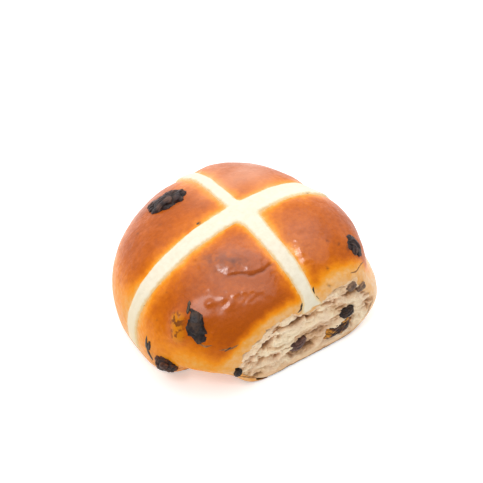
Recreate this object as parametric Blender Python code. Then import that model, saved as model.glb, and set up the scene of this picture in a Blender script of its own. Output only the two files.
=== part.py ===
"""Hot cross bun, one of a batch baked side by side and pulled apart along one side.

The bun is a squarish dome with a flat base. Its pulled side faces -Y and is nearly
upright. A strip of flour paste crosses the dome, along X and along Y. Raisins sit in
pockets of their own. Everything is in metres, and the origin is under the middle of
the whole box, on the surface that the bun stands on.
"""

import math

import bmesh
import bpy
import numpy as np
from mathutils import Matrix, Vector
from mathutils.bvhtree import BVHTree

OBJECT_NAME = "hot_cross_bun"

# Dome, measured from the point under its highest spot
LEFT = 0.0478
RIGHT = 0.0322
BACK = 0.0413
FRONT = 0.0372
HEIGHT = 0.0393
BELLY_HEIGHT = 0.0115
BASE_SHARE = 0.94  # width of the base over that of the belly
CORNER_BACK_LEFT = 2.2  # exponents of the outline: 2 is round, more is squarer
CORNER_BACK_RIGHT = 1.8
CORNER_FRONT_LEFT = 2.45
CORNER_FRONT_RIGHT = 2.85
SHOULDER = 2.8  # exponent of the profile across, and what it gains to the right and back
SHOULDER_RIGHT = 0.4
SHOULDER_BACK = 0.55
CROWN = 2.15  # exponent of the profile upwards

# Swellings and hollows of the crust
HEART = Vector((0, 0, 0.0107))  # the surface is measured outwards from this point
LOBE_BACK_LEFT = 0.0004
LOBE_BACK_RIGHT = 0.0007
LOBE_FRONT_LEFT = 0.0018
LOBE_FRONT_RIGHT = 0.0030
LOBE_REACH = 0.0066
LOBE_BLEND = 0.0032
FOOT_BEARING = math.radians(-34)
FOOT_SWELL = 0.0008
FOOT_SWELL_HEIGHT = 0.0086
FOOT_SWELL_RISE = 0.0070
FOOT_SWELL_TURN = 0.45
WAIST_HEIGHT = 0.0205
WAIST_DEPTH = 0.0026
WAIST_RISE = 0.0054
WAIST_TURN = 0.55
TUCK_BEARING = math.radians(-146)
TUCK_DEPTH = 0.0068
TUCK_RISE = 0.0065
TUCK_TURN = 0.23

# Pulled side
TEAR_DISTANCE = 0.0334
TEAR_LEAN = 0.01
TEAR_WAVE = 0.0005
TEAR_CURVE_FROM = -0.028
TEAR_CURVE = 30.0  # how fast its left end curves back, per metre

# Paste cross
CROSS_X = -0.0032
CROSS_Y = 0.0033
CROSS_TURN = math.radians(2.9)
CROSS_HALF_WIDTH = 0.0036  # half the width of the sheet before its arms are drawn in or out
ARM_HALF_WIDTHS = {  # of each arm at the crossing and at ARM_SPAN from it
    "left": (0.0037, 0.0029),
    "right": (0.0041, 0.0045),
    "front": (0.0037, 0.0027),
    "back": (0.0023, 0.0022),
}
ARM_SPAN = 0.040
SHIFT_X = -0.0006  # how far the middle line of the arm along X lies behind the crossing
SHIFT_X_RIGHT = -0.0003
BOW_LEFT = (-1.4, 22)  # how it bends towards the front, with the square and the cube of the run
BOW_RIGHT = (-3.6, 0)
BOW_RIGHT_END = 0.029  # from here on it runs straight down
SHIFT_Y = -0.0003
BOW_FRONT = 0.4
SAG_FRONT = (-0.0006, -0.016, 0.009)  # depth, place and reach of a gentle bend of the other arm
SAG_BACK = (-0.0005, 0.008, 0.010)
CROSS_THICKNESS = 0.0010
CROSS_EDGE = 0.0004
CROSS_ENDS = {"left": 97, "right": 95, "front": 70, "back": 95}  # degrees from upright
CROSS_STEP = math.radians(4.5)
LIP_LENGTH = 0.005  # the end over the pulled side spreads into a lip
LIP_SPREAD = 0.45

GAP = 0.0003
POCKET_GROWTH = 0.0004
DOME_CELLS = 17
TEAR_CELLS = (22, 1, 12)
TEAR_SPAN = (0.080, 0.050, 0.060)
TEAR_FLOOR = 0.005
UNDERCUT = 0.004  # the dome runs this far below its base before it is cut flat

# Each raisin: bearing and elevation of its middle seen from HEART, in degrees,
# length, width and depth in millimetres, its turn on the surface in degrees, and how
# far its middle lies below the surface in millimetres
RAISINS = {
    "raisin_left_shoulder": (129, 39, (14.0, 9.6, 6.0), 112, 0.9),
    "raisin_front": (-150, 21, (12.4, 9.4, 5.8), 118, 1.7),
    "raisin_right_shoulder": (-50, 33, (8.4, 6.0, 4.6), 66, 1.2),
    "raisin_foot_left": (-159, 1, (7.6, 6.0, 5.6), 0, 0.5),
    "raisin_slit_left": (-167, 5, (7.4, 2.2, 3.0), 84, 1.1),
    "raisin_torn_upper": (-68, 4, (5.4, 4.6, 4.4), 20, 0.9),
    "raisin_torn_lower": (-73, -6, (11.0, 6.6, 5.2), 12, 0.9),
    "raisin_torn_middle": (-100, -2, (7.0, 4.6, 4.4), 5, 1.0),
    "raisin_torn_corner": (-131, 0, (3.6, 3.0, 3.0), 60, 0.8),
    "raisin_torn_top_left": (-67, 21, (3.6, 3.2, 3.0), 30, 0.9),
    "raisin_torn_top_right": (-61, 16, (3.8, 2.6, 2.6), 15, 0.8),
}
BIG_RAISIN = 0.005  # longer raisins get the finer mesh
RAISIN_LUMPS = 0.10
RAISIN_SQUARENESS = 0.86  # below 1 the ends of a raisin are blunt

COLOURS = {
    "crust": ((0.50, 0.19, 0.06, 1), 0.32),
    "paste": ((0.90, 0.80, 0.60, 1), 0.75),
    "raisin": ((0.030, 0.016, 0.016, 1), 0.45),
}


def outline(bearing):
    """Distance from the dome's axis to its belly."""
    across, along = np.cos(bearing), np.sin(bearing)
    side = np.where(across > 0, RIGHT, LEFT)
    end = np.where(along > 0, BACK, FRONT)
    back_corner = np.where(across > 0, CORNER_BACK_RIGHT, CORNER_BACK_LEFT)
    front_corner = np.where(across > 0, CORNER_FRONT_RIGHT, CORNER_FRONT_LEFT)
    corner = np.where(along > 0, back_corner, front_corner)
    return (np.abs(across / side) ** corner + np.abs(along / end) ** corner) ** (-1 / corner)


def plain_radius(ways):
    """Distance from HEART to the plain dome along each unit vector, by halving."""
    bearing = np.arctan2(ways[:, 1], ways[:, 0])
    level = np.hypot(ways[:, 0], ways[:, 1]) / outline(bearing)
    shoulder = SHOULDER + SHOULDER_RIGHT * np.cos(bearing) + SHOULDER_BACK * np.sin(bearing)
    near = np.zeros(len(ways))
    far = np.full(len(ways), 2 * LEFT)
    for _ in range(30):
        middle = (near + far) / 2
        height = HEART.z + middle * ways[:, 2]
        share = middle * level
        rise = np.clip((height - BELLY_HEIGHT) / (HEIGHT - BELLY_HEIGHT), 0, 2)
        drop = np.clip((BELLY_HEIGHT - height) / BELLY_HEIGHT, 0, 1)
        tucked = BASE_SHARE + (1 - BASE_SHARE) * np.sqrt(1 - drop**2)
        above = share**shoulder + rise**CROWN > 1
        below = (share > tucked) | (height < -UNDERCUT)
        outside = np.where(height >= BELLY_HEIGHT, above, below)
        far = np.where(outside, middle, far)
        near = np.where(outside, near, middle)
    return (near + far) / 2


def hill(distance, reach):
    return np.exp(-((distance / reach) ** 2))


def turned(bearing, centre):
    """Angle from centre to bearing, between -pi and pi."""
    return (bearing - centre + math.pi) % (2 * math.pi) - math.pi


def swelling(points):
    """How far the crust stands out from, or in from, the plain dome."""
    x, y, z = points.T
    right, ahead = x - CROSS_X, y - CROSS_Y
    past_x = right * math.cos(CROSS_TURN) + ahead * math.sin(CROSS_TURN)
    past_y = ahead * math.cos(CROSS_TURN) - right * math.sin(CROSS_TURN)
    to_right = 1 / (1 + np.exp(-past_x / LOBE_BLEND))
    to_back = 1 / (1 + np.exp(-past_y / LOBE_BLEND))
    back = to_right * LOBE_BACK_RIGHT + (1 - to_right) * LOBE_BACK_LEFT
    front = to_right * LOBE_FRONT_RIGHT + (1 - to_right) * LOBE_FRONT_LEFT
    lobe = to_back * back + (1 - to_back) * front
    lobe *= (1 - hill(past_x, LOBE_REACH)) * (1 - hill(past_y, LOBE_REACH))
    lobe *= np.clip(z / BELLY_HEIGHT, 0, 1)
    bearing = np.arctan2(y, x)
    foot_turn = turned(bearing, FOOT_BEARING)
    foot = FOOT_SWELL * hill(foot_turn, FOOT_SWELL_TURN)
    foot *= hill(z - FOOT_SWELL_HEIGHT, FOOT_SWELL_RISE)
    waist = WAIST_DEPTH * hill(foot_turn, WAIST_TURN) * hill(z - WAIST_HEIGHT, WAIST_RISE)
    tuck = TUCK_DEPTH * hill(turned(bearing, TUCK_BEARING), TUCK_TURN) * hill(z, TUCK_RISE)
    return lobe + foot - waist - tuck


def dome(ways):
    """Points of the whole dome, before its pulled side is cut, along unit vectors."""
    radius = plain_radius(ways)
    points = np.array(HEART) + ways * radius[:, None]
    return points + ways * swelling(points)[:, None]


def tear(x, z):
    """Y of the pulled side: it leans out a little, and its left end curves back."""
    curve = TEAR_CURVE * np.minimum(x - TEAR_CURVE_FROM, 0) ** 2
    wave = TEAR_WAVE * (np.sin(x / 0.0042) * np.cos(z / 0.0051) + np.sin(x / 0.0093 + z / 0.0068))
    return -TEAR_DISTANCE - TEAR_LEAN * z + curve + wave


def divided_cube(cells):
    """A unit cube about the origin, with cells[i] cells along axis i."""
    mesh = bmesh.new()
    bmesh.ops.create_cube(mesh, size=1)
    for axis, count in enumerate(cells):
        along = [e for e in mesh.edges if abs(e.verts[0].co[axis] - e.verts[1].co[axis]) > 0.9]
        if count > 1:
            bmesh.ops.subdivide_edges(mesh, edges=along, cuts=count - 1, use_grid_fill=True)
    return mesh


def move_points(mesh, rule):
    """Puts each vertex where rule, a function on an (n, 3) array, sends it."""
    places = rule(np.array([v.co for v in mesh.verts]))
    for vertex, place in zip(mesh.verts, places):
        vertex.co = place


def make_object(name, mesh, collection):
    bmesh.ops.recalc_face_normals(mesh, faces=mesh.faces)
    bmesh.ops.triangulate(mesh, faces=mesh.faces)  # bent quads would not cut cleanly
    data = bpy.data.meshes.new(name)
    mesh.to_mesh(data)
    mesh.free()
    made = bpy.data.objects.new(name, data)
    collection.objects.link(made)
    data.shade_smooth()
    data.set_sharp_from_angle(angle=math.radians(40))
    return made


def make_material(name, look):
    colour, roughness = look
    material = bpy.data.materials.new(name)
    material.use_nodes = True
    shader = material.node_tree.nodes["Principled BSDF"]
    shader.inputs["Base Color"].default_value = colour
    shader.inputs["Roughness"].default_value = roughness
    shader.inputs["Metallic"].default_value = 0
    material.diffuse_color = colour
    return material


def dome_mesh():
    mesh = divided_cube((DOME_CELLS,) * 3)

    def rule(cube):
        ways = np.tan(cube * math.pi / 2)  # evens out the cells over the sphere
        return dome(ways / np.linalg.norm(ways, axis=1)[:, None])

    move_points(mesh, rule)
    bmesh.ops.recalc_face_normals(mesh, faces=mesh.faces)
    return mesh


def flatten_base(mesh):
    """Cuts the dome at the surface it stands on, and closes it with a flat base."""
    everything = mesh.verts[:] + mesh.edges[:] + mesh.faces[:]
    down = (0, 0, -1)
    bmesh.ops.bisect_plane(mesh, geom=everything, plane_co=(0, 0, 0), plane_no=down, clear_outer=True)
    rim = [e for e in mesh.edges if e.is_boundary]
    bmesh.ops.contextual_create(mesh, geom=rim)


def tear_cutter(cutters):
    mesh = divided_cube(TEAR_CELLS)

    def rule(cube):
        x = cube[:, 0] * TEAR_SPAN[0]
        z = (cube[:, 2] + 0.5) * TEAR_SPAN[2] - TEAR_FLOOR
        front = tear(x, z)
        y = np.where(cube[:, 1] > 0, front, front - TEAR_SPAN[1])
        return np.stack([x, y, z], axis=1)

    move_points(mesh, rule)
    return make_object("tear_cutter", mesh, cutters)


def cut(body, cutters):
    """Takes everything in a collection of cutters out of the body."""
    for cutter in cutters.objects:
        cutter.hide_render = True
        cutter.display_type = "WIRE"
    modifier = body.modifiers.new(cutters.name, "BOOLEAN")
    modifier.operation = "DIFFERENCE"
    modifier.solver = "EXACT"
    modifier.operand_type = "COLLECTION"
    modifier.collection = cutters


def arm_steps(start, end, scale):
    """Places along an arm, in metres from the crossing: small steps across it, then larger."""
    half = CROSS_HALF_WIDTH
    crossing = list(np.linspace(-half, half, 5))
    before = np.linspace(-math.radians(start) * scale, -half, round(math.radians(start) / CROSS_STEP))
    after = np.linspace(half, math.radians(end) * scale, round(math.radians(end) / CROSS_STEP))
    return np.array(list(before[:-1]) + crossing + list(after[1:]))


def crown(offset):
    """Height of the paste over its underside, at an offset from the strip's middle line."""
    share = np.clip(abs(offset) / CROSS_HALF_WIDTH, 0, 1)
    return CROSS_EDGE + (CROSS_THICKNESS - CROSS_EDGE) * (1 - share**4)


def arm_width(run, before, after):
    """Half the width of the cross where its middle line has run a distance past the crossing."""
    share = min(abs(run) / ARM_SPAN, 1)
    backward = before[0] + (before[1] - before[0]) * share
    forward = after[0] + (after[1] - after[0]) * share
    turn = np.clip((run + CROSS_HALF_WIDTH) / (2 * CROSS_HALF_WIDTH), 0, 1)
    return backward + (forward - backward) * turn


def middle_of_x(u):
    """How far the middle line of the arm along X lies behind the crossing."""
    square, cube = BOW_LEFT if u < 0 else BOW_RIGHT
    right = np.clip(u / (2 * CROSS_HALF_WIDTH), 0, 1)
    run = min(abs(u), BOW_RIGHT_END) if u > 0 else abs(u)
    return SHIFT_X + SHIFT_X_RIGHT * right + square * run**2 + cube * run**3


def middle_of_y(v):
    """How far the middle line of the arm along Y lies to the right of the crossing."""
    sags = sum(depth * hill(v - place, reach) for depth, place, reach in (SAG_FRONT, SAG_BACK))
    return SHIFT_Y + BOW_FRONT * min(v, 0) ** 2 + sags


def cross_object(surface, collection):
    """One plus-shaped sheet, thickened and laid over the dome."""
    heart = Vector((CROSS_X, CROSS_Y, HEART.z))
    upright = Vector((0, 0, 1))
    along_x = Vector((math.cos(CROSS_TURN), math.sin(CROSS_TURN), 0))
    along_y = Vector((-math.sin(CROSS_TURN), math.cos(CROSS_TURN), 0))
    scale = surface.ray_cast(heart, upright)[3]
    steps_x = arm_steps(CROSS_ENDS["left"], CROSS_ENDS["right"], scale)
    steps_y = arm_steps(CROSS_ENDS["front"], CROSS_ENDS["back"], scale)
    half = CROSS_HALF_WIDTH

    mesh = bmesh.new()
    columns, rows = len(steps_x) - 1, len(steps_y) - 1
    bmesh.ops.create_grid(mesh, x_segments=columns, y_segments=rows, size=0.5)
    for vertex in mesh.verts:
        column = round((vertex.co.x + 0.5) * columns)
        row = round((vertex.co.y + 0.5) * rows)
        vertex.co = (steps_x[column], steps_y[row], 0)
    slack = 1e-6
    off = [f for f in mesh.faces if min(abs(c) for c in f.calc_center_median()[:2]) > half + slack]
    bmesh.ops.delete(mesh, geom=off, context="FACES")
    bmesh.ops.solidify(mesh, geom=mesh.faces[:], thickness=GAP)

    def on_surface(run, side, forward, sideways):
        way = upright * math.cos(run / scale) + forward * math.sin(run / scale)
        middle = surface.ray_cast(heart, way)[0]
        aim = (middle + sideways * side - heart).normalized()
        return surface.ray_cast(heart, aim)[0], aim

    heights = [v.co.z for v in mesh.verts]
    halfway = (min(heights) + max(heights)) / 2
    for vertex in mesh.verts:
        u, v, layer = vertex.co
        lip = np.clip((steps_y[0] + LIP_LENGTH - v) / LIP_LENGTH, 0, 1)
        across, along = u, v
        if abs(u) <= half + slack:
            width = arm_width(v, ARM_HALF_WIDTHS["front"], ARM_HALF_WIDTHS["back"])
            across = u / half * width * (1 + LIP_SPREAD * lip) + middle_of_y(v)
        if abs(v) <= half + slack:
            width = arm_width(u, ARM_HALF_WIDTHS["left"], ARM_HALF_WIDTHS["right"])
            along = v / half * width + middle_of_x(u)
            place, out = on_surface(across, along, along_x, along_y)
            offset = min(abs(u), abs(v))
        else:
            place, out = on_surface(v, across, along_y, along_x)
            offset = u
        lift = GAP + (crown(offset) if layer > halfway else 0)
        vertex.co = place + out * lift
    return make_object("cross", mesh, collection)


def raisin_mesh(size, grow):
    """A blunt, lumpy ellipsoid: length along x, width along y, depth along z."""
    half = np.array(size) / 2000
    mesh = bmesh.new()
    levels = 3 if half[0] > BIG_RAISIN / 2 else 2
    bmesh.ops.create_icosphere(mesh, subdivisions=levels, radius=1)

    def rule(ball):
        blunt = np.sign(ball) * np.abs(ball) ** RAISIN_SQUARENESS
        blunt /= np.linalg.norm(blunt, axis=1)[:, None] ** 0.5
        lumps = np.sin(3.1 * ball[:, 0] + 2.0 * ball[:, 1]) * np.cos(3.7 * ball[:, 1] - 2.3 * ball[:, 2])
        scale = 1 + RAISIN_LUMPS * lumps
        return blunt * scale[:, None] * (half + grow)

    move_points(mesh, rule)
    return mesh


def seat(made, surface, bearing, elevation, turn, sink):
    """Sets a raisin's middle a little under the surface, its length turned from the level."""
    level = math.cos(bearing), math.sin(bearing)
    way = Vector((level[0] * math.cos(elevation), level[1] * math.cos(elevation), math.sin(elevation)))
    place, outward, _, _ = surface.ray_cast(HEART, way)
    across = Vector((0, 0, 1)).cross(outward).normalized()
    length_way = across * math.cos(turn) + outward.cross(across) * math.sin(turn)
    axes = Matrix((length_way, outward.cross(length_way), outward)).transposed()
    made.matrix_world = Matrix.Translation(place - outward * sink) @ axes.to_4x4()


def add_raisins(surface, collection, pockets):
    """Every raisin, and the pocket it sits in, which is wider by the gap all round."""
    material = make_material("raisin", COLOURS["raisin"])
    made = []
    for name, (bearing, elevation, size, turn, sink) in RAISINS.items():
        place = (math.radians(bearing), math.radians(elevation), math.radians(turn), sink / 1000)
        raisin = make_object(name, raisin_mesh(size, 0), collection)
        seat(raisin, surface, *place)
        raisin.data.materials.append(material.copy())
        pocket = make_object(name + "_pocket", raisin_mesh(size, POCKET_GROWTH), pockets)
        seat(pocket, surface, *place)
        made.append(raisin)
    return made


def box_middle(things):
    """Middle of the box round the evaluated objects, in plan."""
    bpy.context.view_layer.update()
    graph = bpy.context.evaluated_depsgraph_get()
    corners = []
    for thing in things:
        seen = thing.evaluated_get(graph)
        corners += [seen.matrix_world @ v.co for v in seen.data.vertices]
    xs, ys = [c.x for c in corners], [c.y for c in corners]
    return (min(xs) + max(xs)) / 2, (min(ys) + max(ys)) / 2


def clear_scene():
    for thing in list(bpy.data.objects):
        bpy.data.objects.remove(thing, do_unlink=True)


def new_collection(name):
    made = bpy.data.collections.new(name)
    bpy.context.scene.collection.children.link(made)
    return made


def main():
    clear_scene()
    parts = new_collection(OBJECT_NAME)
    cutters = new_collection(OBJECT_NAME + "_cutters")
    pockets = new_collection(OBJECT_NAME + "_pockets")

    whole = dome_mesh()
    whole_surface = BVHTree.FromBMesh(whole)
    flatten_base(whole)
    bun = make_object("bun", whole, parts)
    bun.data.materials.append(make_material("crust", COLOURS["crust"]))
    tear_cutter(cutters)
    cut(bun, cutters)

    cross = cross_object(whole_surface, parts)
    cross.data.materials.append(make_material("paste", COLOURS["paste"]))

    bpy.context.view_layer.update()
    torn = bun.evaluated_get(bpy.context.evaluated_depsgraph_get())
    torn_mesh = bmesh.new()
    torn_mesh.from_mesh(torn.data)
    torn_surface = BVHTree.FromBMesh(torn_mesh)
    torn_mesh.free()
    raisins = add_raisins(torn_surface, parts, pockets)
    cut(bun, pockets)

    pieces = [bun, cross] + raisins
    middle_x, middle_y = box_middle(pieces)
    stand = bpy.data.objects.new("stand", None)
    parts.objects.link(stand)
    stand.location = (-middle_x, -middle_y, 0)
    for piece in pieces + list(cutters.objects) + list(pockets.objects):
        piece.parent = stand


main()
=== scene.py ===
"""Looks of the hot cross bun: glazed crust, torn crumb, flour-paste cross and raisins.

Lengths are in metres, and colours are linear. The shape functions are those of the CAD
design. POLE leads from the design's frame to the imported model's frame. A place on the bun
is a bearing and an elevation in degrees, as seen from HEART.
"""

import itertools
import math

import bpy
import numpy as np
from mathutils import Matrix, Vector
from mathutils.bvhtree import BVHTree
from mathutils.kdtree import KDTree


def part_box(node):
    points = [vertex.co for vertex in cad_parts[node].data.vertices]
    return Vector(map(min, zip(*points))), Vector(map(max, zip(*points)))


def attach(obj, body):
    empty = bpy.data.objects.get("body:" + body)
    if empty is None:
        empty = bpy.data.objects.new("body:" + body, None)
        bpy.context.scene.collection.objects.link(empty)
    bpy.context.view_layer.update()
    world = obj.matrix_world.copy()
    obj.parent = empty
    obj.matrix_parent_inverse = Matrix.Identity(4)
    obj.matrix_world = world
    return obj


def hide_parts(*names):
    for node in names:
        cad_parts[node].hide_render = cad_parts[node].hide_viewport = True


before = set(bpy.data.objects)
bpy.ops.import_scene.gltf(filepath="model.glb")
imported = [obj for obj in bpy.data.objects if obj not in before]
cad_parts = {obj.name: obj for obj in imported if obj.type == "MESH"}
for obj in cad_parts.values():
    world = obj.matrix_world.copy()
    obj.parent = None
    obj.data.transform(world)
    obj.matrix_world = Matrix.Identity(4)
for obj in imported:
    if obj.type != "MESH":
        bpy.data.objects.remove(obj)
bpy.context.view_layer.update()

# Dome, as in the CAD design
LEFT = 0.0478
RIGHT = 0.0322
BACK = 0.0413
FRONT = 0.0372
HEIGHT = 0.0393
BELLY_HEIGHT = 0.0115
BASE_SHARE = 0.94
CORNER_BACK_LEFT = 2.2
CORNER_BACK_RIGHT = 1.8
CORNER_FRONT_LEFT = 2.45
CORNER_FRONT_RIGHT = 2.85
SHOULDER = 2.8
SHOULDER_RIGHT = 0.4
SHOULDER_BACK = 0.55
CROWN = 2.15
UNDERCUT = 0.004
HEART = np.array((0, 0, 0.0107))
LOBE_BACK_LEFT = 0.0004
LOBE_BACK_RIGHT = 0.0007
LOBE_FRONT_LEFT = 0.0018
LOBE_FRONT_RIGHT = 0.0030
LOBE_REACH = 0.0066
LOBE_BLEND = 0.0032
FOOT_BEARING = math.radians(-34)
FOOT_SWELL = 0.0008
FOOT_SWELL_HEIGHT = 0.0086
FOOT_SWELL_RISE = 0.0070
FOOT_SWELL_TURN = 0.45
WAIST_HEIGHT = 0.0205
WAIST_DEPTH = 0.0026
WAIST_RISE = 0.0054
WAIST_TURN = 0.55
TUCK_BEARING = math.radians(-146)
TUCK_DEPTH = 0.0068
TUCK_RISE = 0.0065
TUCK_TURN = 0.23
CAD_DOME_CELLS = 17

# Pulled side, as in the CAD design
TEAR_DISTANCE = 0.0334
TEAR_LEAN = 0.01
TEAR_CURVE_FROM = -0.028
TEAR_CURVE = 30.0

# Paste cross, as in the CAD design
CROSS_X = -0.0032
CROSS_Y = 0.0033
CROSS_TURN = math.radians(2.9)
CROSS_HALF_WIDTH = 0.0036
CROSS_ENDS = {"left": 97, "right": 95, "front": 70, "back": 95}
LIP_LENGTH = 0.0045
LIP_SPREAD = 0.95

# Fineness of the visible meshes
CRUST_CELLS = 124
EDGE_ROUNDING = 0.0022
FOOT_ROUNDING = 0.0016
CRUMB_CELL = 0.00017
CROSS_CELL = 0.00030

HALVINGS = 30

NOISE_GAIN = 1.6
NOISE_SHIFT = 19.7  # keeps noises of different seeds apart
RNG = np.random.default_rng(11)
SHUFFLE = RNG.permutation(256)
WAYS = RNG.normal(size=(256, 3))
WAYS /= np.linalg.norm(WAYS, axis=1)[:, None]


def noise(points, size, seed=0):
    """Smooth gradient noise between about -1 and 1. The size may differ along x, y and z."""
    places = points / np.array(size) + NOISE_SHIFT * seed
    cell = np.floor(places).astype(int)
    part = places - cell
    ease = part**3 * (part * (part * 6 - 15) + 10)
    total = np.zeros(len(points))
    for corner in itertools.product((0, 1), repeat=3):
        x, y, z = ((cell + corner) & 255).T
        way = WAYS[SHUFFLE[(SHUFFLE[(SHUFFLE[x] + y) & 255] + z) & 255]]
        share = np.prod(np.where(corner, ease, 1 - ease), axis=1)
        total += share * np.einsum("ij,ij->i", way, part - corner)
    return NOISE_GAIN * total


def fractal(points, size, octaves, seed=0):
    """Noise with finer and finer noise on it."""
    size = np.array(size, float)
    return sum(noise(points, size / 2**n, seed + n) / 2**n for n in range(octaves))


def swells(points, kind, seed):
    """Noise of one height and size."""
    height, size = kind
    return height * noise(points, size, seed)


def stir(points, amount, size, seeds):
    """Moves of the points by noise, with a seed for each direction."""
    return amount * np.stack([noise(points, size, seed) for seed in seeds], axis=1)


def smoothstep(low, high, value):
    """A smooth change from 0 at low to 1 at high."""
    share = np.clip((value - low) / (high - low), 0, 1)
    return share * share * (3 - 2 * share)


def hill(distance, reach):
    """1 at no distance, and nearly 0 at twice the reach."""
    return np.exp(-((distance / reach) ** 2))


def soft_min(one, other, width):
    """The smaller of two lengths, with a rounded change from one to the other."""
    share = np.clip(0.5 + 0.5 * (other - one) / width, 0, 1)
    return other + (one - other) * share - width * share * (1 - share)


def outline(bearing):
    """Distance of the belly's edge from the axis at each bearing."""
    across, along = np.cos(bearing), np.sin(bearing)
    side = np.where(across > 0, RIGHT, LEFT)
    end = np.where(along > 0, BACK, FRONT)
    back_corner = np.where(across > 0, CORNER_BACK_RIGHT, CORNER_BACK_LEFT)
    front_corner = np.where(across > 0, CORNER_FRONT_RIGHT, CORNER_FRONT_LEFT)
    corner = np.where(along > 0, back_corner, front_corner)
    return (np.abs(across / side) ** corner + np.abs(along / end) ** corner) ** (-1 / corner)


def plain_radius(ways):
    """Distance from HEART to the plain dome along each unit vector, by halving."""
    bearing = np.arctan2(ways[:, 1], ways[:, 0])
    level = np.hypot(ways[:, 0], ways[:, 1]) / outline(bearing)
    shoulder = SHOULDER + SHOULDER_RIGHT * np.cos(bearing) + SHOULDER_BACK * np.sin(bearing)
    near = np.zeros(len(ways))
    far = np.full(len(ways), 2 * LEFT)
    for _ in range(HALVINGS):
        middle = (near + far) / 2
        height = HEART[2] + middle * ways[:, 2]
        share = middle * level
        rise = np.clip((height - BELLY_HEIGHT) / (HEIGHT - BELLY_HEIGHT), 0, 2)
        drop = np.clip((BELLY_HEIGHT - height) / BELLY_HEIGHT, 0, 1)
        tucked = BASE_SHARE + (1 - BASE_SHARE) * np.sqrt(1 - drop**2)
        above = share**shoulder + rise**CROWN > 1
        below = (share > tucked) | (height < -UNDERCUT)
        outside = np.where(height >= BELLY_HEIGHT, above, below)
        far = np.where(outside, middle, far)
        near = np.where(outside, near, middle)
    return (near + far) / 2


def turned(bearing, centre):
    """The turn from a centre to each bearing, by the shorter way."""
    return (bearing - centre + math.pi) % (2 * math.pi) - math.pi


def past_cross(points):
    """Distances past the middle lines of the cross: to the right of one, behind the other."""
    right, ahead = points[:, 0] - CROSS_X, points[:, 1] - CROSS_Y
    past_x = right * math.cos(CROSS_TURN) + ahead * math.sin(CROSS_TURN)
    past_y = ahead * math.cos(CROSS_TURN) - right * math.sin(CROSS_TURN)
    return past_x, past_y


def swelling(points):
    """How far the lobes and the foot stand out from the plain dome, less the waist and the tuck."""
    x, y, z = points.T
    past_x, past_y = past_cross(points)
    to_right = 1 / (1 + np.exp(-past_x / LOBE_BLEND))
    to_back = 1 / (1 + np.exp(-past_y / LOBE_BLEND))
    back = to_right * LOBE_BACK_RIGHT + (1 - to_right) * LOBE_BACK_LEFT
    front = to_right * LOBE_FRONT_RIGHT + (1 - to_right) * LOBE_FRONT_LEFT
    lobe = to_back * back + (1 - to_back) * front
    lobe *= (1 - hill(past_x, LOBE_REACH)) * (1 - hill(past_y, LOBE_REACH))
    lobe *= np.clip(z / BELLY_HEIGHT, 0, 1)
    bearing = np.arctan2(y, x)
    foot_turn = turned(bearing, FOOT_BEARING)
    foot = FOOT_SWELL * hill(foot_turn, FOOT_SWELL_TURN) * hill(z - FOOT_SWELL_HEIGHT, FOOT_SWELL_RISE)
    waist = WAIST_DEPTH * hill(foot_turn, WAIST_TURN) * hill(z - WAIST_HEIGHT, WAIST_RISE)
    tuck = TUCK_DEPTH * hill(turned(bearing, TUCK_BEARING), TUCK_TURN) * hill(z, TUCK_RISE)
    return lobe + foot - waist - tuck


def dome_radius(ways):
    """Distance from HEART to the whole bun, as if it weren't pulled."""
    radius = plain_radius(ways)
    return radius + swelling(HEART + ways * radius[:, None])


def tear(x, z):
    """Y of the pulled side, without its unevenness."""
    return -TEAR_DISTANCE - TEAR_LEAN * z + TEAR_CURVE * np.minimum(x - TEAR_CURVE_FROM, 0) ** 2


def tear_radius(ways):
    """Distance from HEART to the pulled side along each unit vector, by halving."""
    near = np.zeros(len(ways))
    far = np.full(len(ways), 3 * LEFT)
    for _ in range(HALVINGS):
        middle = (near + far) / 2
        places = HEART + ways * middle[:, None]
        outside = places[:, 1] < tear(places[:, 0], places[:, 2])
        far = np.where(outside, middle, far)
        near = np.where(outside, near, middle)
    return (near + far) / 2


def floor_radius(ways):
    """Distance from HEART to the flat base."""
    return HEART[2] / np.maximum(-ways[:, 2], 1e-4)


def ball(cells):
    """Unit vectors spread over the sphere on a divided cube, and the quads between them."""
    steps = np.arange(cells + 1)
    a, b = (grid.ravel() for grid in np.meshgrid(steps, steps, indexing="ij"))
    corner = (steps[:-1, None] * (cells + 1) + steps[None, :-1]).ravel()
    square = corner[:, None] + np.array((0, cells + 1, cells + 2, 1))
    places, quads = [], []
    for axis, end in itertools.product(range(3), (0, cells)):
        side = np.zeros((len(a), 3), int)
        side[:, axis] = end
        side[:, (axis + 1) % 3] = a
        side[:, (axis + 2) % 3] = b
        quads.append((square if end else square[:, ::-1]) + len(places) * len(a))
        places.append(side)
    places, index = np.unique(np.concatenate(places), axis=0, return_inverse=True)
    ways = np.tan((places / cells - 0.5) * math.pi / 2)
    ways /= np.linalg.norm(ways, axis=1)[:, None]
    return ways, index.ravel()[np.concatenate(quads)]


def grid_quads(columns, rows):
    """The quads between points that run along the rows of a grid."""
    corner = (np.arange(columns - 1)[:, None] * rows + np.arange(rows - 1)[None, :]).ravel()
    return corner[:, None] + np.array((0, rows, rows + 1, 1))


def normals(points, quads):
    """Unit vectors outward at the points."""
    corners = points[quads]
    faces = np.cross(corners[:, 2] - corners[:, 0], corners[:, 3] - corners[:, 1])
    total = np.zeros_like(points)
    for column in range(4):
        np.add.at(total, quads[:, column], faces)
    return total / np.maximum(np.linalg.norm(total, axis=1), 1e-12)[:, None]


def kept(points, quads, keep, *fields):
    """The quads whose corners are all kept, with the points and their fields packed together."""
    quads = quads[keep[quads].all(axis=1)]
    used = np.unique(quads)
    place = np.zeros(len(points), int)
    place[used] = np.arange(len(used))
    return (points[used], place[quads], *(field[used] for field in fields))


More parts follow.
